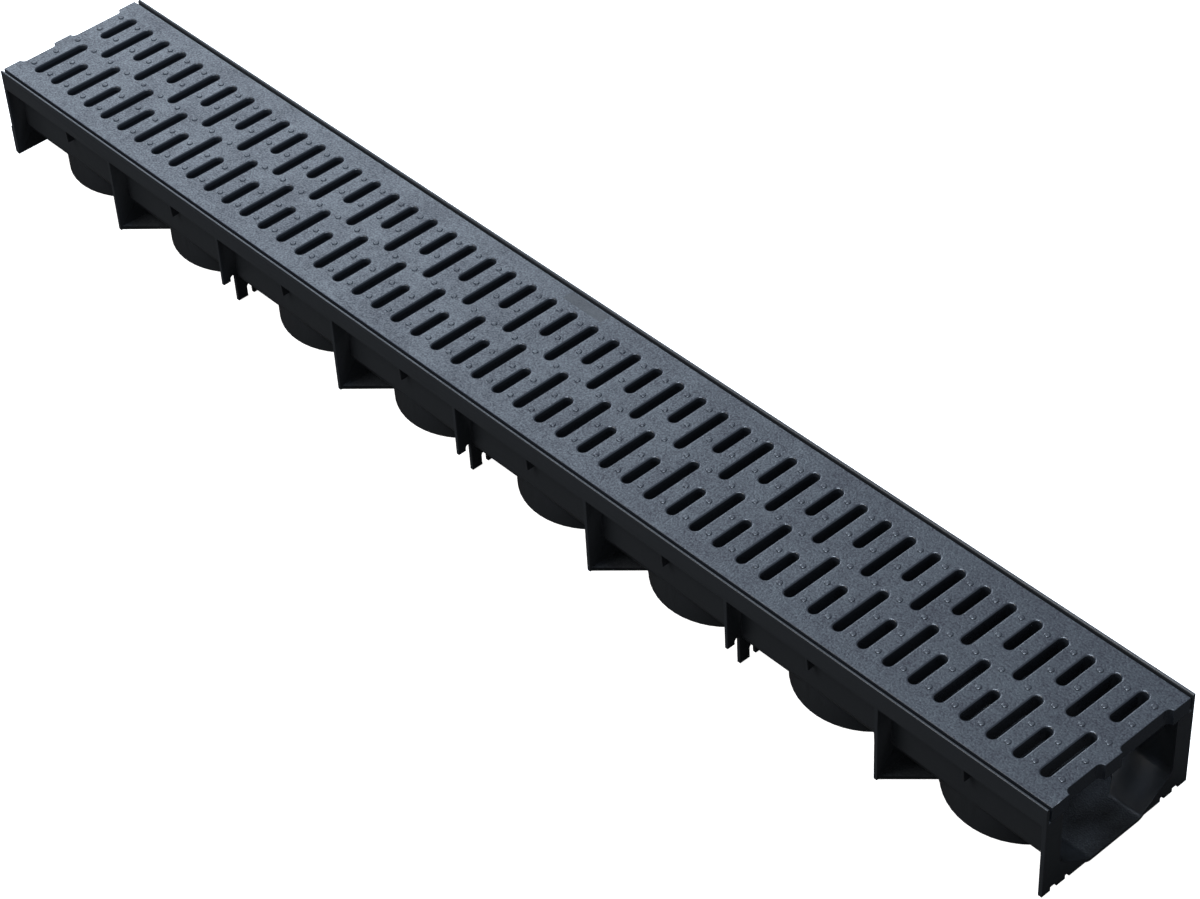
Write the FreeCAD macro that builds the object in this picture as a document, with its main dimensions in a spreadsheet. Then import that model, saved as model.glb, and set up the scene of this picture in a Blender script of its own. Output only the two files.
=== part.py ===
"""Channel drain: a moulded polypropylene channel with a slotted grate laid in its rim.

The origin is at the bottom centre. X runs along the channel, Y across it and Z up.
The joint tongues are at the -X end.
"""
import FreeCAD, Part
import Sketcher
import os
import sys

os.makedirs("parts", exist_ok=True)
doc = FreeCAD.newDocument("channel_drain")

# ---------------------------------------------------------------- driving sizes, in millimetres
SIZES = {
    "nominal_length": 1000.0,
    "overall_width": 125.0,
    "overall_height": 75.0,
    # rim: a skirt each side and the ledge that the grate rests on
    "skirt_height": 15.0,
    "skirt_thickness": 2.0,
    "ledge_thickness": 2.5,
    # trough
    "trough_width": 101.6,
    "wall_thickness": 2.2,
    "floor_thickness": 2.5,
    "wall_foot_height": 19.8,
    "slope_angle": 35.0,
    "trough_bend_radius": 6.0,
    # round pots that stand under the trough, one in each bay
    "bay_pitch": 123.75,
    "pot_diameter": 101.4,
    # full cross plates and clip plates, by turns between the bays
    "plate_thickness": 2.5,
    "foot_web_thickness": 2.5,
    "foot_web_reach": 28.5,
    # bar clip cut in every clip plate
    "clip_mouth_height": 19.5,
    "clip_prong_width": 6.0,
    "clip_slot_width": 4.1,
    "clip_slot_top": 24.0,
    "clip_heel_width": 8.4,
    "clip_notch_width": 4.6,
    "clip_notch_top": 10.0,
    # small gusset under the ledge at each pot
    "gusset_thickness": 1.8,
    "gusset_width": 114.8,
    "gusset_depth": 18.4,
    "gusset_lean": 1.2,
    # end plates and the joint between two channels
    "end_plate_thickness": 3.0,
    "end_plate_foot": 2.0,
    "end_notch_depth": 3.0,
    "outer_notch_width": 5.0,
    "outer_notch_spread": 105.0,
    "inner_notch_width": 3.0,
    "inner_notch_spread": 82.0,
    "tongue_depth": 1.5,
    "tongue_thickness": 2.6,
    "tongue_foot": 3.0,
    "tongue_top": 25.5,
    # grate
    "grate_clearance": 2.0,
    "slot_pitch": 20.0,
    "slot_width": 7.2,
    "slot_margin": 14.3,
    "long_slot_gap": 0.2,
    "short_slot_gap": 14.25,
    "grate_skin": 4.0,
    "grate_rib": 2.6,
}
sheet = doc.addObject("Spreadsheet::Sheet", "Sizes")
for row, (alias, value) in enumerate(SIZES.items(), start=1):
    sheet.set("A%d" % row, alias)
    sheet.set("B%d" % row, str(value))
    sheet.setAlias("B%d" % row, alias)
doc.recompute()

SLOT_END_CHORDS = 5


def sized(formula):
    """Writes a formula in plain aliases as one that reads the sheet."""
    words = []
    for word in formula.replace("(", "( ").replace(")", " )").split():
        words.append("Sizes." + word if word in SIZES else word)
    return " ".join(words)


def value_of(formula):
    """The formula's value now, to draw a sketch near its solved shape."""
    return float(sheet.evalExpression(sized(formula)))


# ---------------------------------------------------------------- sketch and feature helpers
def origin_part(body, role):
    return next(part for part in body.Origin.OriginFeatures if part.Role == role)


def add_sketch(body, name, role, offset="0"):
    """A sketch on one of the body's own planes, moved along that plane's normal."""
    sketch = body.newObject("Sketcher::SketchObject", name)
    sketch.AttachmentSupport = [(origin_part(body, role), "")]
    sketch.MapMode = "FlatFace"
    sketch.setExpression("AttachmentOffset.Base.z", sized(offset))
    return sketch


def place_point(sketch, curve, end, across, up):
    """Ties a point of a curve to the sketch's origin by two formulas."""
    for kind, axis, formula in (("DistanceX", -2, across), ("DistanceY", -1, up)):
        if formula == "0":
            sketch.addConstraint(Sketcher.Constraint("PointOnObject", curve, end, axis))
            continue
        tie = Sketcher.Constraint(kind, -1, 1, curve, end, value_of(formula))
        number = sketch.addConstraint(tie)
        sketch.setExpression("Constraints[%d]" % number, sized(formula))


def draw_polygon(sketch, corners):
    """A closed outline of straight lines; a corner is two formulas, and a third rounds it off."""
    points = [FreeCAD.Vector(value_of(corner[0]), value_of(corner[1]), 0) for corner in corners]
    lines = []
    for start, end in zip(points, points[1:] + points[:1]):
        lines.append(sketch.addGeometry(Part.LineSegment(start, end), False))
    for line, following in zip(lines, lines[1:] + lines[:1]):
        sketch.addConstraint(Sketcher.Constraint("Coincident", line, 2, following, 1))
    anchors = []
    for number, corner in enumerate(corners):
        if len(corner) == 3:
            anchors.append(round_corner(sketch, lines[number - 1], corner[2]))
        else:
            anchors.append(lines[number])
    for anchor, corner in zip(anchors, corners):
        place_point(sketch, anchor, 1, corner[0], corner[1])


def round_corner(sketch, line, radius):
    """Rounds the corner at a line's end; returns the point that stays where the corner was."""
    arc = sketch.GeometryCount
    sketch.fillet(line, 2, value_of(radius), True, True)
    size = sketch.addConstraint(Sketcher.Constraint("Radius", arc, value_of(radius)))
    sketch.setExpression("Constraints[%d]" % size, sized(radius))
    return arc + 1


def draw_box(sketch, left, right, low, high):
    draw_polygon(sketch, [(left, low), (right, low), (right, high), (left, high)])


def mirrored(corners):
    """The corners of a right half, from top to bottom, with their mirror image on the left."""
    return corners + [("-1 * ( %s )" % corner[0], *corner[1:]) for corner in reversed(corners)]


def draw_slot(sketch, centre, low, high, width):
    """A slot with round ends between two heights, about the line across = centre.

    Each end is drawn with five chords, which stay within 0.2 mm of its arc.
    """
    corners = []
    ends = (("( %s ) - ( %s ) / 2" % (high, width), 0.0), ("( %s ) + ( %s ) / 2" % (low, width), 180.0))
    for end, start in ends:
        for step in range(SLOT_END_CHORDS + 1):
            turn = start + 180.0 * step / SLOT_END_CHORDS
            across = "( %s ) + ( %s ) / 2 * cos( %g * 1 deg )" % (centre, width, turn)
            up = "%s + ( %s ) / 2 * sin( %g * 1 deg )" % (end, width, turn)
            corners.append((across, up))
    draw_polygon(sketch, corners)


def draw_circle(sketch, across, up, diameter):
    centre = FreeCAD.Vector(value_of(across), value_of(up), 0)
    circle = sketch.addGeometry(Part.Circle(centre, FreeCAD.Vector(0, 0, 1), value_of(diameter) / 2), False)
    size = sketch.addConstraint(Sketcher.Constraint("Diameter", circle, value_of(diameter)))
    sketch.setExpression("Constraints[%d]" % size, sized(diameter))
    place_point(sketch, circle, 3, across, up)


def extrude(body, kind, sketch, length, middle=False, backwards=False):
    """A Pad or a Pocket of one sketch."""
    feature = body.newObject("PartDesign::" + kind, sketch.Name + "_" + kind.lower())
    feature.Profile = sketch
    feature.setExpression("Length", sized(length))
    feature.Midplane = middle
    feature.Reversed = backwards
    sketch.Visibility = False
    body.Tip = feature
    return feature


def repeat_along(body, features, step, count):
    """Copies features along +X, a step apart."""
    pattern = body.newObject("PartDesign::LinearPattern", features[0].Name + "_row")
    pattern.Originals = features
    pattern.Direction = (origin_part(body, "X_Axis"), [""])
    pattern.Mode = "Spacing"
    pattern.setExpression("Offset", sized(step))
    pattern.setExpression("Occurrences", sized(count))
    body.Tip = pattern
    return pattern


# ---------------------------------------------------------------- formulas that several pieces share
LEDGE_TOP = "overall_height - skirt_height + ledge_thickness"
LEDGE_FOOT = "overall_height - skirt_height"
HALF_LENGTH = "nominal_length / 2"
HALF_WIDTH = "overall_width / 2"
WALL = "trough_width / 2"
BORE = "trough_width / 2 - wall_thickness"
SLOPE = "tan( slope_angle * 1 deg )"
SLOPE_RISE = "wall_thickness / cos( slope_angle * 1 deg )"
BODY_START = "tongue_depth - nominal_length / 2"
BAY_PAIRS = "floor( nominal_length / bay_pitch / 2 )"
FIRST_BAY = "-1 * bay_pitch * ( %s - 0.5 )" % BAY_PAIRS
SLOT_PAIRS = "floor( nominal_length / slot_pitch / 2 )"
GRATE_HALF = "overall_width / 2 - skirt_thickness - grate_clearance"
GRATE_DEPTH = "skirt_height - ledge_thickness"


# ---------------------------------------------------------------- channel body
def make_channel():
    body = doc.addObject("PartDesign::Body", "channel_body")
    body.Label = "channel_body"

    section = add_sketch(body, "trough", "YZ_Plane", BODY_START)
    outer_bend = "trough_bend_radius + wall_thickness"
    draw_polygon(section, mirrored([
        (HALF_WIDTH, "overall_height"),
        (HALF_WIDTH, LEDGE_FOOT),
        (WALL, LEDGE_FOOT),
        (WALL, "wall_foot_height", outer_bend),
        ("%s - wall_foot_height / %s" % (WALL, SLOPE), "0", outer_bend),
    ]))
    extrude(body, "Pad", section, "nominal_length - tongue_depth")

    pot = add_sketch(body, "pot", "XY_Plane")
    draw_circle(pot, FIRST_BAY, "0", "pot_diameter")
    pot_pad = extrude(body, "Pad", pot, LEDGE_FOOT)
    repeat_along(body, [pot_pad], "bay_pitch", "2 * " + BAY_PAIRS)

    add_cross_plates(body)
    add_clip_plates(body)
    add_gussets(body)
    add_end_plates(body)

    recess = add_sketch(body, "grate_recess", "YZ_Plane", "-1 * " + HALF_LENGTH)
    draw_polygon(recess, mirrored([
        ("overall_width / 2 - skirt_thickness", "overall_height + skirt_height"),
        ("overall_width / 2 - skirt_thickness", LEDGE_TOP),
    ]))
    extrude(body, "Pocket", recess, "nominal_length", backwards=True)

    inside = add_sketch(body, "trough_inside", "YZ_Plane", "-1 * " + HALF_LENGTH)
    floor_half = "%s + ( floor_thickness - wall_foot_height - %s ) / %s" % (WALL, SLOPE_RISE, SLOPE)
    draw_polygon(inside, mirrored([
        (BORE, "overall_height"),
        (BORE, "wall_foot_height + %s - wall_thickness * %s" % (SLOPE_RISE, SLOPE), "trough_bend_radius"),
        (floor_half, "floor_thickness", "trough_bend_radius"),
    ]))
    extrude(body, "Pocket", inside, "nominal_length", backwards=True)

    pot_inside = add_sketch(body, "pot_inside", "XY_Plane", "floor_thickness")
    draw_circle(pot_inside, FIRST_BAY, "0", "pot_diameter - 2 * wall_thickness")
    pot_pocket = extrude(body, "Pocket", pot_inside, "overall_height", backwards=True)
    repeat_along(body, [pot_pocket], "bay_pitch", "2 * " + BAY_PAIRS)
    return body


def add_cross_plates(body):
    """Full plates between bays 1 and 2, 3 and 4 and so on, with a web at each foot."""
    first = "-1 * bay_pitch * ( %s - 1 )" % BAY_PAIRS
    plate = add_sketch(body, "cross_plate", "YZ_Plane", first)
    draw_polygon(plate, mirrored([
        (HALF_WIDTH, LEDGE_TOP),
        (HALF_WIDTH, "0"),
    ]))
    plate_pad = extrude(body, "Pad", plate, "plate_thickness", middle=True)

    web = add_sketch(body, "foot_web", "XY_Plane")
    draw_polygon(web, [
        (first, HALF_WIDTH),
        (first + " - foot_web_reach", HALF_WIDTH + " - foot_web_reach"),
        (first + " - foot_web_reach", "foot_web_reach - " + HALF_WIDTH),
        (first, "-1 * " + HALF_WIDTH),
        (first + " + foot_web_reach", "foot_web_reach - " + HALF_WIDTH),
        (first + " + foot_web_reach", HALF_WIDTH + " - foot_web_reach"),
    ])
    web_pad = extrude(body, "Pad", web, "foot_web_thickness")
    repeat_along(body, [plate_pad, web_pad], "2 * bay_pitch", BAY_PAIRS)


def add_clip_plates(body):
    """Plates between the full ones, cut so that a reinforcing bar clips in from below."""
    first = "-1 * bay_pitch * ( %s - 2 )" % BAY_PAIRS
    prong = HALF_WIDTH + " - clip_prong_width"
    heel = prong + " - clip_slot_width"
    notch = heel + " - clip_heel_width"
    plate = add_sketch(body, "clip_plate", "YZ_Plane", first)
    draw_polygon(plate, mirrored([
        (HALF_WIDTH, LEDGE_TOP),
        (HALF_WIDTH, "clip_mouth_height"),
        (heel, "clip_mouth_height"),
        (heel, "0"),
    ]))
    plate_pad = extrude(body, "Pad", plate, "plate_thickness", middle=True)

    cuts = add_sketch(body, "clip_cuts", "YZ_Plane", first)
    for side in ("", "-1 * "):
        slot_centre = side + "( %s - clip_slot_width / 2 )" % prong
        draw_slot(cuts, slot_centre, "clip_mouth_height / 2", "clip_slot_top", "clip_slot_width")
        notch_centre = side + "( %s - clip_notch_width / 2 )" % notch
        draw_slot(cuts, notch_centre, "-1 * clip_notch_top", "clip_notch_top", "clip_notch_width")
    cut_pocket = extrude(body, "Pocket", cuts, "2 * plate_thickness", middle=True)
    repeat_along(body, [plate_pad, cut_pocket], "2 * bay_pitch", BAY_PAIRS + " - 1")


def add_gussets(body):
    gusset = add_sketch(body, "gusset", "YZ_Plane", FIRST_BAY)
    draw_polygon(gusset, mirrored([
        ("gusset_width / 2", LEDGE_TOP),
        ("gusset_width / 2", LEDGE_FOOT),
        ("gusset_width / 2 - gusset_lean", LEDGE_FOOT + " - gusset_depth"),
    ]))
    gusset_pad = extrude(body, "Pad", gusset, "gusset_thickness", middle=True)
    repeat_along(body, [gusset_pad], "bay_pitch", "2 * " + BAY_PAIRS)


def add_end_plates(body):
    """A plate across each end: tongues stand out of the first, and the second is notched along its foot."""
    ends = (("start_plate", BODY_START), ("finish_plate", HALF_LENGTH + " - end_plate_thickness"))
    for name, place in ends:
        plate = add_sketch(body, name, "YZ_Plane", place)
        draw_polygon(plate, mirrored([(HALF_WIDTH, LEDGE_TOP), (HALF_WIDTH, "end_plate_foot")]))
        extrude(body, "Pad", plate, "end_plate_thickness")

    notches = add_sketch(body, "foot_notches", "YZ_Plane", HALF_LENGTH)
    tongues = add_sketch(body, "tongues", "YZ_Plane", "-1 * " + HALF_LENGTH)
    for side in ("", "-1 * "):
        for kind in ("outer", "inner"):
            edge = side + "( %s_notch_spread / 2 %s %s_notch_width / 2 )"
            draw_box(notches, edge % (kind, "-", kind), edge % (kind, "+", kind),
                     "end_plate_foot - end_notch_depth", "end_plate_foot + end_notch_depth")
        draw_box(tongues, side + "( %s - tongue_thickness )" % HALF_WIDTH, side + "( %s )" % HALF_WIDTH,
                 "tongue_foot", "tongue_top")
    extrude(body, "Pocket", notches, "end_plate_thickness")
    extrude(body, "Pad", tongues, "tongue_depth + end_plate_thickness")


# ---------------------------------------------------------------- grate
def make_grate():
    """Two rows of slots, long and short by turns, that end in half slots at both ends."""
    body = doc.addObject("PartDesign::Body", "grate")
    body.Label = "grate"
    plan = add_sketch(body, "grate_plan", "XY_Plane", LEDGE_TOP)
    draw_box(plan, "-1 * " + HALF_LENGTH, HALF_LENGTH, "-1 * ( %s )" % GRATE_HALF, "( %s )" % GRATE_HALF)
    extrude(body, "Pad", plan, GRATE_DEPTH)

    reach = GRATE_HALF + " - slot_margin"
    columns = (
        ("inner_slots", "slot_pitch * ( 1 - %s )", "short_slot_gap", "long_slot_gap", SLOT_PAIRS),
        ("outer_slots", "-1 * slot_pitch * %s", "long_slot_gap", "short_slot_gap", SLOT_PAIRS + " + 1"),
    )
    for name, place, back_gap, front_gap, count in columns:
        slots = add_sketch(body, name, "XY_Plane", LEDGE_TOP)
        draw_slot(slots, place % SLOT_PAIRS, back_gap, reach, "slot_width")
        draw_slot(slots, place % SLOT_PAIRS, "-1 * ( %s )" % reach, "-1 * ( %s )" % front_gap, "slot_width")
        pocket = extrude(body, "Pocket", slots, "skirt_height", backwards=True)
        repeat_along(body, [pocket], "2 * slot_pitch", count)
    add_hollows(body, reach)
    return body


def add_hollows(body, reach):
    """Hollows that core the bars and both side strips from below, to an even wall."""
    depth = GRATE_DEPTH + " - grate_skin"
    strips = add_sketch(body, "strip_hollows", "XY_Plane", LEDGE_TOP)
    strip_end = HALF_LENGTH + " - grate_rib"
    for side in ("", "-1 * "):
        draw_box(strips, "-1 * ( %s )" % strip_end, strip_end,
                 side + "( %s + grate_rib )" % reach, side + "( %s - grate_rib )" % GRATE_HALF)
    extrude(body, "Pocket", strips, depth, backwards=True)

    bar = add_sketch(body, "bar_hollow", "XY_Plane", LEDGE_TOP)
    middle = "slot_pitch * ( 0.5 - %s )" % SLOT_PAIRS
    half = "slot_pitch / 2 - slot_width / 2 - grate_rib"
    draw_box(bar, "%s - ( %s )" % (middle, half), "%s + ( %s )" % (middle, half),
             "-1 * ( %s - grate_rib )" % reach, "%s - grate_rib" % reach)
    bar_pocket = extrude(body, "Pocket", bar, depth, backwards=True)
    repeat_along(body, [bar_pocket], "slot_pitch", "2 * " + SLOT_PAIRS)


bodies = [make_channel(), make_grate()]
doc.recompute()

# ---------------------------------------------------------------- checks and export
for item in doc.Objects:
    if "Invalid" in item.State or "Error" in item.State:
        sys.exit("%s failed: %s" % (item.Name, item.State))
for body in bodies:
    if body.Shape.isNull() or not body.Shape.isValid() or len(body.Shape.Solids) != 1:
        sys.exit("%s is not one valid solid" % body.Label)
    body.Shape.exportStep("parts/%s.step" % body.Label)
    print(body.Label, round(body.Shape.Volume), [round(v, 3) for v in (
        body.Shape.BoundBox.XMin, body.Shape.BoundBox.XMax, body.Shape.BoundBox.YMin,
        body.Shape.BoundBox.YMax, body.Shape.BoundBox.ZMin, body.Shape.BoundBox.ZMax)])
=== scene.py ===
import math

import bmesh
import bpy
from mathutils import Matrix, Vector
from mathutils.geometry import delaunay_2d_cdt


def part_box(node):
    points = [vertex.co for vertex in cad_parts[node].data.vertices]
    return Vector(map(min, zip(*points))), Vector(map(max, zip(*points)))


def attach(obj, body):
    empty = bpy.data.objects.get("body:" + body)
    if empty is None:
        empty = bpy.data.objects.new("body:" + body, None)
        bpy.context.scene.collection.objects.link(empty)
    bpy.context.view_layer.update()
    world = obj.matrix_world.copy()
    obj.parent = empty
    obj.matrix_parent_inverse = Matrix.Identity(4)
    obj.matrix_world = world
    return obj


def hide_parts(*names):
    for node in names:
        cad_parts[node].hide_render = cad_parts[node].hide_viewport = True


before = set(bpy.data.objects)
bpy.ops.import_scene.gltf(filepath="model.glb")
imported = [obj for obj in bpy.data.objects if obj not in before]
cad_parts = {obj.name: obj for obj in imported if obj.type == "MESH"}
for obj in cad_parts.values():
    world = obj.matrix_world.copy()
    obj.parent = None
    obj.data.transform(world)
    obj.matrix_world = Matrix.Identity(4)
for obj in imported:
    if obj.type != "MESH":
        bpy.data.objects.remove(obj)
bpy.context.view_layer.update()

bl_info = {
    "name": "Channel Drain",
    "version": (1, 0, 0),
    "blender": (4, 5, 0),
    "location": "View3D > Sidebar > Channel Drain",
    "description": "Finishes a moulded drainage channel and its slotted grate, and lights them",
    "category": "Object",
}

MM = 0.001


# ---------------------------------------------------------------- settings
class ChannelSettings(bpy.types.PropertyGroup):
    rim_radius: bpy.props.FloatProperty(
        name="Rim radius", description="Rounding along the outer top edge of both rims",
        default=0.4 * MM, unit="LENGTH", precision=4)
    rim_lead: bpy.props.FloatProperty(
        name="Rim lead", description="Rounding along the inner top edge, which leads the grate in",
        default=1.2 * MM, unit="LENGTH", precision=4)
    edge_radius: bpy.props.FloatProperty(
        name="Edge radius", description="Rounding that the mould leaves on the other outer edges",
        default=0.35 * MM, unit="LENGTH", precision=4)
    # The default is the plastic's dark grey, lifted a little bluer and lighter as painted sheen so that the
    # rim's top reads like the cool light it reflects.
    plastic: bpy.props.StringProperty(
        name="Plastic", description="Colour of the channel's plastic", default="#323539")


class GrateSettings(bpy.types.PropertyGroup):
    slot_pitch: bpy.props.FloatProperty(
        name="Slot pitch", description="Distance between slot columns along the grate",
        default=20.0 * MM, unit="LENGTH", precision=4)
    slot_width: bpy.props.FloatProperty(
        name="Slot width", description="Width of a slot between its walls",
        default=7.2 * MM, unit="LENGTH", precision=4)
    slot_margin: bpy.props.FloatProperty(
        name="Side margin", description="Plain strip from the slots' outer ends to the grate's side",
        default=14.3 * MM, unit="LENGTH", precision=4)
    long_gap: bpy.props.FloatProperty(
        name="Long slot gap", description="From the centre line to a long slot's inner end",
        default=0.2 * MM, unit="LENGTH", precision=4)
    short_gap: bpy.props.FloatProperty(
        name="Short slot gap", description="From the centre line to a short slot's inner end",
        default=14.25 * MM, unit="LENGTH", precision=4)
    slot_radius: bpy.props.FloatProperty(
        name="Slot edge radius", description="Rounding along the top edge of every slot",
        default=1.4 * MM, unit="LENGTH", precision=4)
    land_depth: bpy.props.FloatProperty(
        name="Land depth", description="Depth of the narrow part of a slot, under which it widens",
        default=3.6 * MM, unit="LENGTH", precision=4)
    relief: bpy.props.FloatProperty(
        name="Relief", description="Step by which a slot widens under its narrow part",
        default=0.6 * MM, unit="LENGTH", precision=4)
    side_radius: bpy.props.FloatProperty(
        name="Side radius", description="Rounding along the grate's outer top edge",
        default=0.4 * MM, unit="LENGTH", precision=4)
    stud_diameter: bpy.props.FloatProperty(
        name="Stud diameter", description="Diameter of the low grip studs",
        default=4.2 * MM, unit="LENGTH", precision=4)
    stud_height: bpy.props.FloatProperty(
        name="Stud height", description="Height of the grip studs within the grate's depth",
        default=0.6 * MM, unit="LENGTH", precision=4)
    stud_spread: bpy.props.FloatProperty(
        name="Stud rows", description="Distance between rows of studs across the grate",
        default=19.5 * MM, unit="LENGTH", precision=4)
    panel_length: bpy.props.FloatProperty(
        name="Bare panel length", description="Length of the shallow bare panel in the side margin",
        default=37.0 * MM, unit="LENGTH", precision=4)
    panel_width: bpy.props.FloatProperty(
        name="Bare panel width", description="Width of the shallow bare panel in the side margin",
        default=9.0 * MM, unit="LENGTH", precision=4)
    panel_depth: bpy.props.FloatProperty(
        name="Bare panel depth", description="Depth of the shallow bare panel",
        default=0.3 * MM, unit="LENGTH", precision=4)
    rib: bpy.props.FloatProperty(
        name="Rib", description="Wall left beside the hollows under the bars",
        default=2.6 * MM, unit="LENGTH", precision=4)
    skin: bpy.props.FloatProperty(
        name="Skin", description="Thickness left over the hollows under the bars",
        default=4.0 * MM, unit="LENGTH", precision=4)
    # The default is the plastic's dark grey with a blue-grey tint that is partly painted sheen, standing in
    # for the cool light that the grate's top reflects.
    plastic: bpy.props.StringProperty(
        name="Plastic", description="Colour of the grate's plastic", default="#34383E")
    panel_plastic: bpy.props.StringProperty(
        name="Bare panel plastic", description="Colour of the bare panel's finer finish",
        default="#26292D")


class StageSettings(bpy.types.PropertyGroup):
    floor_colour: bpy.props.StringProperty(
        name="Floor", description="Colour of the floor", default="#FAFAFA")
    floor_bounce: bpy.props.StringProperty(
        name="Floor bounce", description="Grey that the floor throws back on the drain", default="#3C3C3C")
    floor_glow: bpy.props.FloatProperty(
        name="Floor glow", description="White that the floor adds for the camera alone", default=1.0)
    sky: bpy.props.FloatProperty(
        name="Sky", description="Strength of the even light from all round", default=0.25)
    lens: bpy.props.FloatProperty(
        name="Lens", description="Focal length of the camera", default=97.65, unit="CAMERA")


# ---------------------------------------------------------------- material helpers
def linear(colour):
    """An sRGB hex colour as linear RGBA."""
    channels = [int(colour[i:i + 2], 16) / 255 for i in (1, 3, 5)]
    return [c / 12.92 if c <= 0.04045 else ((c + 0.055) / 1.055) ** 2.4 for c in channels] + [1.0]


def add_node(tree, kind, settings=None, links=None, **values):
    """Adds a node; settings go to its properties, values and links to its sockets by name."""
    node = tree.nodes.new(kind)
    for name, value in (settings or {}).items():
        setattr(node, name, value)
    for name, value in values.items():
        node.inputs[name.replace("_", " ")].default_value = value
    for name, source in (links or {}).items():
        tree.links.new(source, node.inputs[name])
    return node


def new_material(name):
    """A material with one Principled shader; returns it with its tree and shader."""
    material = bpy.data.materials.new(name)
    material.use_nodes = True
    tree = material.node_tree
    return material, tree, tree.nodes["Principled BSDF"]


def tinted(colour, red, green, blue):
    """A colour with each channel scaled, as one end of a ramp."""
    return [channel * share for channel, share in zip(colour[:3], (red, green, blue))] + [1.0]


# size of the plastic's large and small cloudy patches, and how far the melt's slow waves stand up
CLOUD_MM = 30
PATCH_MM = 5
WAVE_DEPTH_MM = 0.5
# noise values between which tone and gloss swing, the grain's share of them, and the tone of plain walls
TONE_RANGE = (0.36, 0.64)
GRAIN_SHARE = 0.65
PLAIN_TONE = 0.48
# the swing of blue in the dark grains and of green in the light ones, as shares of the mottle
DARK_BLUE = 0.8
LIGHT_GREEN = 1.1
GLOSS_SWING = 0.12
# upright part of the normal between which a face goes from smooth to fully grained
LEVEL_RANGE = (0.95, 0.995)
PLASTIC_IOR = 1.49


def moulded_polypropylene(name, colour, grain_mm, grain_depth_mm, mottle, roughness, edge_roughness):
    """Injection moulded polypropylene, coloured right through: a satin gloss broken by the mould's
    spark grain, with faint cloudy patches where the melt flowed. Mottle is how far the tone swings.
    The grain is on the level faces alone, so rounded edges are smoother and catch a crisp line of light."""
    material, tree, shader = new_material(name)
    base = linear(colour)
    geometry = add_node(tree, "ShaderNodeNewGeometry")
    place = geometry.outputs["Position"]
    slope = add_node(tree, "ShaderNodeSeparateXYZ", links={"Vector": geometry.outputs["Normal"]})
    level = add_node(tree, "ShaderNodeMapRange", links={"Value": slope.outputs["Z"]},
                     From_Min=LEVEL_RANGE[0], From_Max=LEVEL_RANGE[1]).outputs["Result"]
    flow = add_node(tree, "ShaderNodeTexNoise", links={"Vector": place},
                    Scale=1 / (CLOUD_MM * MM), Detail=3.0)
    patch = add_node(tree, "ShaderNodeTexNoise", links={"Vector": place},
                     Scale=1 / (PATCH_MM * MM), Detail=2.0)
    grain = add_node(tree, "ShaderNodeTexNoise", links={"Vector": place},
                     Scale=1 / (grain_mm * MM), Detail=2.0, Roughness=0.6)
    cloud = add_node(tree, "ShaderNodeMix", {"data_type": "FLOAT"}, Factor=0.5,
                     links={"A": flow.outputs["Fac"], "B": patch.outputs["Fac"]})
    tone = add_node(tree, "ShaderNodeMix", {"data_type": "FLOAT"}, Factor=GRAIN_SHARE,
                    links={"A": cloud.outputs["Result"], "B": grain.outputs["Fac"]})
    shade = add_node(tree, "ShaderNodeMix", {"data_type": "FLOAT"}, A=PLAIN_TONE,
                     links={"Factor": level, "B": tone.outputs["Result"]})
    ramp = add_node(tree, "ShaderNodeValToRGB", links={"Fac": shade.outputs["Result"]}).color_ramp
    low, high = ramp.elements
    low.position, high.position = TONE_RANGE
    low.color = tinted(base, 1 - mottle, 1 - mottle, 1 - DARK_BLUE * mottle)
    high.color = tinted(base, 1 + mottle, 1 + LIGHT_GREEN * mottle, 1 + mottle)
    tree.links.new(tree.nodes["Color Ramp"].outputs["Color"], shader.inputs["Base Color"])
    gloss = add_node(tree, "ShaderNodeMapRange", links={"Value": tone.outputs["Result"]},
                     From_Min=TONE_RANGE[0], From_Max=TONE_RANGE[1],
                     To_Min=roughness + GLOSS_SWING * mottle, To_Max=roughness - GLOSS_SWING * mottle)
    finish = add_node(tree, "ShaderNodeMix", {"data_type": "FLOAT"}, A=edge_roughness,
                      links={"Factor": level, "B": gloss.outputs["Result"]})
    tree.links.new(finish.outputs["Result"], shader.inputs["Roughness"])
    waves = add_node(tree, "ShaderNodeBump", links={"Height": flow.outputs["Fac"]},
                     Strength=1.0, Distance=WAVE_DEPTH_MM * MM)
    bump = add_node(tree, "ShaderNodeBump", Distance=grain_depth_mm * MM,
                    links={"Strength": level, "Height": grain.outputs["Fac"],
                           "Normal": waves.outputs["Normal"]})
    tree.links.new(bump.outputs["Normal"], shader.inputs["Normal"])
    shader.inputs["IOR"].default_value = PLASTIC_IOR
    return material


# ---------------------------------------------------------------- mesh helpers
def finish_piece(mesh_maker, name, material, node):
    """Turns a bmesh into a piece that rides on the body and stands for one CAD node."""
    mesh = bpy.data.meshes.new(name)
    mesh_maker.to_mesh(mesh)
    mesh_maker.free()
    piece = bpy.data.objects.new(name, mesh)
    bpy.context.scene.collection.objects.link(piece)
    mesh.materials.append(material)
    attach(piece, "root")
    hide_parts(node)
    return piece


# degrees: edges that turn by more stay crisp
CRISP_ABOVE = 40.0


def shade_by_angle(piece):
    """Smooth shading that keeps flat faces flat and the sharper edges crisp."""
    piece.data.shade_smooth()
    piece.data.set_sharp_from_angle(angle=math.radians(CRISP_ABOVE))
    weights = piece.modifiers.new("weighted_normals", "WEIGHTED_NORMAL")
    weights.keep_sharp = True


def add_ring(bm, outline, height):
    return [bm.verts.new((along, across, height)) for along, across in outline]


def bridge(bm, lower, upper):
    """Quads between two rings with the same number of points."""
    for i, vert in enumerate(lower):
        after = (i + 1) % len(lower)
        bm.faces.new((vert, lower[after], upper[after], upper[i]))


def bridge_all(bm, rings):
    for lower, upper in zip(rings, rings[1:]):
        bridge(bm, lower, upper)


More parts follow.
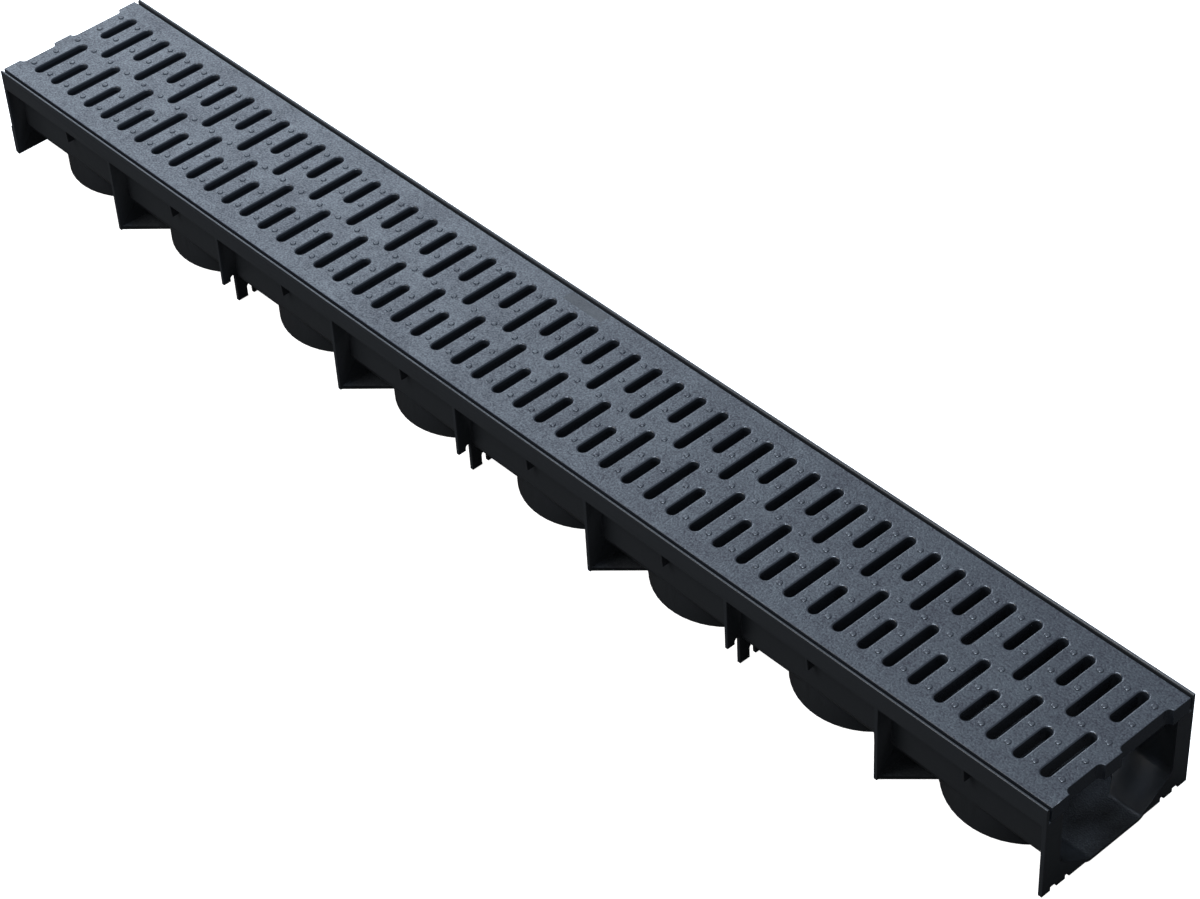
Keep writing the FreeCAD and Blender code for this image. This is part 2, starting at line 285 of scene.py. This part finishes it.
def fill_between(bm, outer, holes):
    """Triangles on the flat face between an outer ring and the rings of its holes."""
    rings = [outer] + holes
    verts = [vert for ring in rings for vert in ring]
    faces, start = [], 0
    for ring in rings:
        faces.append(list(range(start, start + len(ring))))
        start += len(ring)
    points = [Vector((vert.co.x, vert.co.y)) for vert in verts]
    result = delaunay_2d_cdt(points, [], faces, 1, 1e-7)
    triangles, first_input, inside = result[2], result[3], result[5]
    for triangle, owners in zip(triangles, inside):
        if list(owners) == [0]:
            bm.faces.new([verts[first_input[i][0]] for i in triangle])


def rounded_steps(reach, depth, steps):
    """(inset, drop) along a flattened quarter round, from the side wall to the flat top."""
    turns = [math.pi / 2 * step / steps for step in range(steps + 1)]
    return [(reach * (1 - math.cos(turn)), depth * (1 - math.sin(turn))) for turn in turns]


def box_outline(left, right, low, high):
    return [(left, low), (right, low), (right, high), (left, high)]


# ---------------------------------------------------------------- grate
# rows of studs, counted from the centre line
STUD_ROWS = range(-2, 3)
# (share of the radius, share of the height) up a stud's side and over its crown
STUD_PROFILE = ((1.0, 0.0), (0.96, 0.55), (0.83, 0.82), (0.58, 0.94), (0.3, 0.99))
# depth of a slot's rounded edge as a share of its reach
SLOT_EDGE_FLATNESS = 0.6
# height of the slope under a slot's land as a share of the relief
RELIEF_SLOPE = 0.5
SLOT_EDGE_STEPS = 5
SIDE_STEPS = 3
# width of the slope round the bare panel, and of the strip that is left outside it
PANEL_EDGE = 0.4 * MM


def slot_outline(centre, low, high, radius, growth, steps=10):
    """Points round a slot with half-round ends, grown outwards."""
    points = []
    for end, start in ((high - radius, 0.0), (low + radius, math.pi)):
        for step in range(steps + 1):
            turn = start + math.pi * step / steps
            reach = radius + growth
            points.append((centre + reach * math.cos(turn), end + reach * math.sin(turn)))
    return points


def plate_outline(half_length, half_width, notches, radius, inset, steps=6):
    """The grate's outline with a half slot for each notch in both ends, moved inwards by the inset."""
    points = []
    for side in (1, -1):
        spans = notches if side > 0 else notches[::-1]
        end = side * (half_length - inset)
        points.append((end, -side * (half_width - inset)))
        for low, high in spans:
            first, last = (low + radius, high - radius) if side > 0 else (high - radius, low + radius)
            for centre, start in ((first, -0.5), (last, -1.0)):
                for step in range(steps + 1):
                    turn = math.pi * (start - 0.5 * step / steps)
                    along = side * (half_length + (radius + inset) * math.cos(turn))
                    across = centre + side * (radius + inset) * math.sin(turn)
                    points.append((max(-half_length + inset, min(half_length - inset, along)), across))
        points.append((end, side * (half_width - inset)))
    return points


def grate_slots(size, length, reach):
    """(centre, low, high) of every slot, and the notches that half slots cut in the ends."""
    count = round(length / size.slot_pitch)
    slots, notches = [], []
    for column in range(count + 1):
        centre = column * size.slot_pitch - length / 2
        back_gap, front_gap = size.long_gap, size.short_gap
        if column % 2:
            back_gap, front_gap = front_gap, back_gap
        spans = [(-reach, -front_gap), (back_gap, reach)]
        if column in (0, count):
            notches = spans
        else:
            slots += [(centre, low, high) for low, high in spans]
    return slots, notches


def add_slot(bm, slot, size, foot, top):
    """One slot's walls: wide below, narrow on top, with a rounded edge; returns its two rings."""
    centre, start, end = slot
    radius = size.slot_width / 2
    step = top - size.land_depth
    levels = [(size.relief, foot), (size.relief, step), (0.0, step + RELIEF_SLOPE * size.relief)]
    edge_depth = SLOT_EDGE_FLATNESS * size.slot_radius
    for inset, drop in rounded_steps(size.slot_radius, edge_depth, SLOT_EDGE_STEPS):
        levels.append((inset, top - drop))
    rings = []
    for growth, height in levels:
        rings.append(add_ring(bm, slot_outline(centre, start, end, radius, growth), height))
    bridge_all(bm, rings)
    return rings[0], rings[-1]


def add_stud(bm, along, across, size, top, segments=20):
    """A low stud with a steep side and a domed crown; returns the ring where it meets the top."""
    radius = size.stud_diameter / 2
    rings = []
    for share, rise in STUD_PROFILE:
        outline = slot_outline(along, across - radius * share, across + radius * share,
                               radius * share, 0.0, steps=segments // 2)
        outline = [point for i, point in enumerate(outline) if i not in (segments // 2, segments + 1)]
        rings.append(add_ring(bm, outline, top + size.stud_height * rise))
    bridge_all(bm, rings)
    crown = bm.verts.new((along, across, top + size.stud_height))
    for i, vert in enumerate(rings[-1]):
        bm.faces.new((vert, rings[-1][(i + 1) % len(rings[-1])], crown))
    return rings[0]


def add_pocket(bm, outline, mouth, bottom, shrink=None, finish=0):
    """A flat-bottomed hollow, its floor in one of the piece's finishes; returns the ring where it opens."""
    rings = [add_ring(bm, outline, mouth), add_ring(bm, shrink or outline, bottom)]
    bridge_all(bm, rings)
    bm.faces.new(rings[1]).material_index = finish
    return rings[0]


def add_bare_panel(bm, size, half_width, top):
    """The shallow bare panel in the middle of one side margin."""
    half = size.panel_length / 2
    high = half_width - size.side_radius - PANEL_EDGE
    low = high - size.panel_width
    outer = box_outline(-half, half, low, high)
    inner = box_outline(-half + PANEL_EDGE, half - PANEL_EDGE, low + PANEL_EDGE, high - PANEL_EDGE)
    return add_pocket(bm, outer, top, top - size.panel_depth, inner, finish=1)


def build_grate(size):
    low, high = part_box("grate")
    half_length, half_width = high.x, high.y
    reach = half_width - size.slot_margin
    foot, top = low.z, high.z - size.stud_height
    slots, notches = grate_slots(size, 2 * half_length, reach)
    bm = bmesh.new()
    slot_rings = [add_slot(bm, slot, size, foot, top) for slot in slots]
    foot_holes = [lower for lower, upper in slot_rings]
    top_holes = [upper for lower, upper in slot_rings]

    levels = [(0.0, foot)]
    for inset, drop in rounded_steps(size.side_radius, size.side_radius, SIDE_STEPS):
        levels.append((inset, top - drop))
    rings = []
    for inset, height in levels:
        outline = plate_outline(half_length, half_width, notches, size.slot_width / 2, inset)
        rings.append(add_ring(bm, outline, height))
    bridge_all(bm, rings)

    ceiling = top - size.skin
    bar_half = size.slot_pitch / 2 - size.slot_width / 2 - size.rib
    bar_end = reach - size.rib
    for column in range(round(2 * half_length / size.slot_pitch)):
        centre = (column + 0.5) * size.slot_pitch - half_length
        top_holes += [add_stud(bm, centre, row * size.stud_spread, size, top) for row in STUD_ROWS]
        bar = box_outline(centre - bar_half, centre + bar_half, -bar_end, bar_end)
        foot_holes.append(add_pocket(bm, bar, foot, ceiling))
    strip_end = half_length - size.rib
    strip_sides = ((reach + size.rib, half_width - size.rib), (size.rib - half_width, -reach - size.rib))
    for low_side, high_side in strip_sides:
        strip = box_outline(-strip_end, strip_end, low_side, high_side)
        foot_holes.append(add_pocket(bm, strip, foot, ceiling))
    top_holes.append(add_bare_panel(bm, size, half_width, top))

    fill_between(bm, rings[-1], top_holes)
    fill_between(bm, rings[0], foot_holes)
    bmesh.ops.recalc_face_normals(bm, faces=bm.faces)
    # The grate's colour is the plastic's dark grey plus a painted blue-grey sheen.
    material = moulded_polypropylene("grained_polypropylene", size.plastic, grain_mm=1.4, grain_depth_mm=0.32,
                                     mottle=0.95, roughness=0.42, edge_roughness=0.22)
    piece = finish_piece(bm, "grate_moulding", material, "grate")
    fine = moulded_polypropylene("fine_polypropylene", size.panel_plastic, grain_mm=0.9, grain_depth_mm=0.1,
                                 mottle=0.5, roughness=0.46, edge_roughness=0.4)
    piece.data.materials.append(fine)
    shade_by_angle(piece)
    return piece


# ---------------------------------------------------------------- channel
# points of the CAD mesh that are nearer than this are one point
WELD = 0.01 * MM
# degrees: faces that turn by less are one flat face, and edges that turn by more get rounded
FLAT_WITHIN = 1.0
SHARP_ABOVE = 30.0
# an edge is rounded where it and the sharp edges it meets are more than this many radii long
ROOM_PER_RADIUS = 4
# a rim's edges are longer than this, and its inner one lies more than this far inside the outer one
LONG_EDGE = 100 * MM
RIM_HALF = 1.0 * MM
EDGE_SEGMENTS = 2
RIM_SEGMENTS = 4


def is_sharp(edge):
    return len(edge.link_faces) == 2 and edge.calc_face_angle(0.0) > math.radians(SHARP_ABOVE)


def has_room(edge, room):
    """True where the edge and every sharp edge that meets it are longer than the room."""
    around = [near for vert in edge.verts for near in vert.link_edges if is_sharp(near)]
    return all(near.calc_length() > room for near in around)


def round_edges(bm, edges, radius, segments):
    bmesh.ops.bevel(bm, geom=edges, offset=radius, offset_type="OFFSET", segments=segments, profile=0.5,
                    affect="EDGES", clamp_overlap=False, miter_outer="ARC")


def build_channel(size):
    """The channel body with the rounding that its mould gives the edges."""
    bm = bmesh.new()
    bm.from_mesh(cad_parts["channel_body"].data)
    bmesh.ops.remove_doubles(bm, verts=bm.verts, dist=WELD)
    bmesh.ops.dissolve_limit(bm, angle_limit=math.radians(FLAT_WITHIN), verts=bm.verts, edges=bm.edges)
    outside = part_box("channel_body")[1]
    rim_height = outside.z - WELD
    rim_middle = outside.y - RIM_HALF
    room = ROOM_PER_RADIUS * size.edge_radius
    others = [edge for edge in bm.edges if is_sharp(edge) and has_room(edge, room)
              and all(vert.co.z < rim_height for vert in edge.verts)]
    round_edges(bm, others, size.edge_radius, EDGE_SEGMENTS)
    for radius, inner in ((size.rim_radius, False), (size.rim_lead, True)):
        rims = [edge for edge in bm.edges if is_sharp(edge) and edge.calc_length() > LONG_EDGE
                and all(vert.co.z > rim_height for vert in edge.verts)
                and (abs(edge.verts[0].co.y) < rim_middle) == inner]
        round_edges(bm, rims, radius, RIM_SEGMENTS)
    # The channel's colour is the plastic's dark grey with a painted bluish sheen lift.
    material = moulded_polypropylene("satin_polypropylene", size.plastic, grain_mm=1.1, grain_depth_mm=0.3,
                                     mottle=0.4, roughness=0.42, edge_roughness=0.32)
    piece = finish_piece(bm, "channel_moulding", material, "channel_body")
    shade_by_angle(piece)
    return piece


# ---------------------------------------------------------------- stage
DAYLIGHT = "#E0EEFF"
NEUTRAL = "#FFFBF5"
LAMPS = (
    # name, place in metres, side in metres, watts, colour
    ("back_lamp", (-2.0, 1.1, 1.5), 1.5, 36.0, DAYLIGHT),
    ("top_lamp", (0.1, -0.1, 2.3), 0.75, 40.0, DAYLIGHT),
    ("front_lamp", (-0.8, -1.6, 2.0), 1.2, 26.0, NEUTRAL),
)
CAMERA_PLACE = (1.2484, -0.9996, 1.4217)
CAMERA_TURNS = (47.901, 2.616, 47.381)
FLOOR_REACH = 40.0
FLOOR_DROP = 0.2 * MM


def add_lamp(name, place, side, power, colour):
    """A square soft lamp that faces the drain's middle."""
    lamp = bpy.data.lights.new(name, "AREA")
    lamp.shape = "SQUARE"
    lamp.size = side
    lamp.energy = power
    lamp.color = linear(colour)[:3]
    holder = bpy.data.objects.new(name, lamp)
    holder.location = place
    holder.rotation_euler = (-Vector(place)).to_track_quat("-Z", "Y").to_euler()
    bpy.context.scene.collection.objects.link(holder)


def white_paper(name, colour, bounce, glow):
    """Matt paper: the camera sees it white, and what it throws back on the plastic is a duller grey."""
    material, tree, shader = new_material(name)
    camera_ray = add_node(tree, "ShaderNodeLightPath").outputs["Is Camera Ray"]
    tone = add_node(tree, "ShaderNodeMixRGB", links={"Fac": camera_ray},
                    Color1=linear(bounce), Color2=linear(colour))
    light = add_node(tree, "ShaderNodeMath", {"operation": "MULTIPLY"}, links={"Value": camera_ray})
    light.inputs[1].default_value = glow
    tree.links.new(tone.outputs["Color"], shader.inputs["Base Color"])
    tree.links.new(light.outputs["Value"], shader.inputs["Emission Strength"])
    shader.inputs["Emission Color"].default_value = linear(colour)
    shader.inputs["Roughness"].default_value = 0.9
    shader.inputs["Specular IOR Level"].default_value = 0.0
    return material


def build_floor(size):
    mesh = bpy.data.meshes.new("paper_floor")
    corners = [(along, across, 0.0) for along, across in box_outline(*(-FLOOR_REACH, FLOOR_REACH) * 2)]
    mesh.from_pydata(corners, [], [(0, 1, 2, 3)])
    floor = bpy.data.objects.new("paper_floor", mesh)
    floor.location.z = -FLOOR_DROP
    bpy.context.scene.collection.objects.link(floor)
    mesh.materials.append(white_paper("white_paper", size.floor_colour, size.floor_bounce, size.floor_glow))


def build_sky(size):
    """Even white light from all round, which the camera sees as plain white."""
    world = bpy.data.worlds.new("studio")
    bpy.context.scene.world = world
    world.use_nodes = True
    tree = world.node_tree
    camera_ray = add_node(tree, "ShaderNodeLightPath").outputs["Is Camera Ray"]
    strength = add_node(tree, "ShaderNodeMapRange", links={"Value": camera_ray}, To_Min=size.sky, To_Max=1.0)
    background = tree.nodes["Background"]
    background.inputs["Color"].default_value = (1.0, 1.0, 1.0, 1.0)
    tree.links.new(strength.outputs["Result"], background.inputs["Strength"])


def build_stage(size):
    build_floor(size)
    build_sky(size)
    for lamp in LAMPS:
        add_lamp(*lamp)
    camera = bpy.data.cameras.new("camera")
    camera.lens = size.lens
    camera.sensor_width = 36.0
    holder = bpy.data.objects.new("camera", camera)
    holder.location = CAMERA_PLACE
    holder.rotation_euler = [math.radians(turn) for turn in CAMERA_TURNS]
    scene = bpy.context.scene
    scene.collection.objects.link(holder)
    scene.camera = holder
    scene.view_settings.view_transform = "Standard"


# ---------------------------------------------------------------- operators and panel
class DRAIN_OT_channel(bpy.types.Operator):
    """Finish the channel body"""
    bl_idname = "drain.channel"
    bl_label = "Channel"

    def execute(self, context):
        build_channel(context.scene.drain_channel)
        return {"FINISHED"}


class DRAIN_OT_grate(bpy.types.Operator):
    """Build the slotted grate with its studs"""
    bl_idname = "drain.grate"
    bl_label = "Grate"

    def execute(self, context):
        build_grate(context.scene.drain_grate)
        return {"FINISHED"}


class DRAIN_OT_stage(bpy.types.Operator):
    """Set the floor, lamps and camera"""
    bl_idname = "drain.stage"
    bl_label = "Stage"

    def execute(self, context):
        build_stage(context.scene.drain_stage)
        return {"FINISHED"}


class DRAIN_PT_panel(bpy.types.Panel):
    bl_label = "Channel Drain"
    bl_idname = "DRAIN_PT_panel"
    bl_space_type = "VIEW_3D"
    bl_region_type = "UI"
    bl_category = "Channel Drain"

    def draw(self, context):
        for operator in OPERATORS:
            self.layout.operator(operator.bl_idname)


OPERATORS = (DRAIN_OT_channel, DRAIN_OT_grate, DRAIN_OT_stage)
SETTINGS = {"drain_channel": ChannelSettings, "drain_grate": GrateSettings, "drain_stage": StageSettings}


def register():
    for item in (*SETTINGS.values(), *OPERATORS, DRAIN_PT_panel):
        bpy.utils.register_class(item)
    for name, group in SETTINGS.items():
        setattr(bpy.types.Scene, name, bpy.props.PointerProperty(type=group))


def unregister():
    for name in SETTINGS:
        delattr(bpy.types.Scene, name)
    for item in (DRAIN_PT_panel, *reversed(OPERATORS), *SETTINGS.values()):
        bpy.utils.unregister_class(item)


def main():
    register()
    bpy.ops.drain.channel()
    bpy.ops.drain.grate()
    bpy.ops.drain.stage()
    bpy.context.view_layer.update()


if __name__ == "__main__":
    main()
